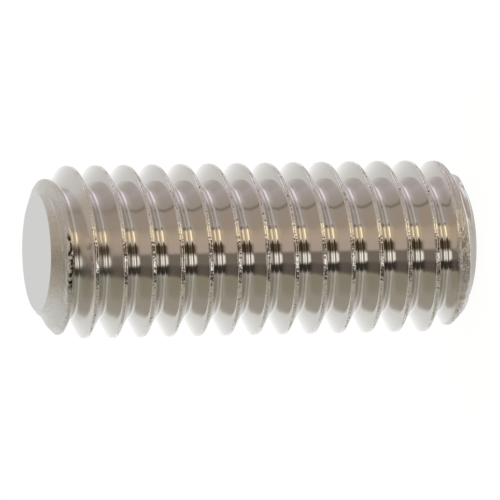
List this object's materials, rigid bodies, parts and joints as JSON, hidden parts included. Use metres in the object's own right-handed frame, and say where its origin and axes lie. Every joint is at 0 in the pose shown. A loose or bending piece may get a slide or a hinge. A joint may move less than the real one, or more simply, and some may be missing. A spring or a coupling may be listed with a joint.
{
  "type": "grub set screw",
  "caption": "Headless steel grub set screw with a full-length metric thread, a flat point and a hexagon socket in the other end.",
  "frame": {"origin": "centre of the drive face, the end with the hexagon socket, which the screw stands on", "axes": "+Z along the screw's axis from the drive face to the flat point; the middle of the thread groove crosses the +X side 1.14 mm above the drive face"},
  "size_m": [0.0059, 0.0058, 0.015],
  "materials": {
    "stainless_steel": "rolled and bright on the thread, satin on the turned ends"
  },
  "bodies": {
    "root": {"set_screw": "stainless_steel"}
  },
  "joints": []
}
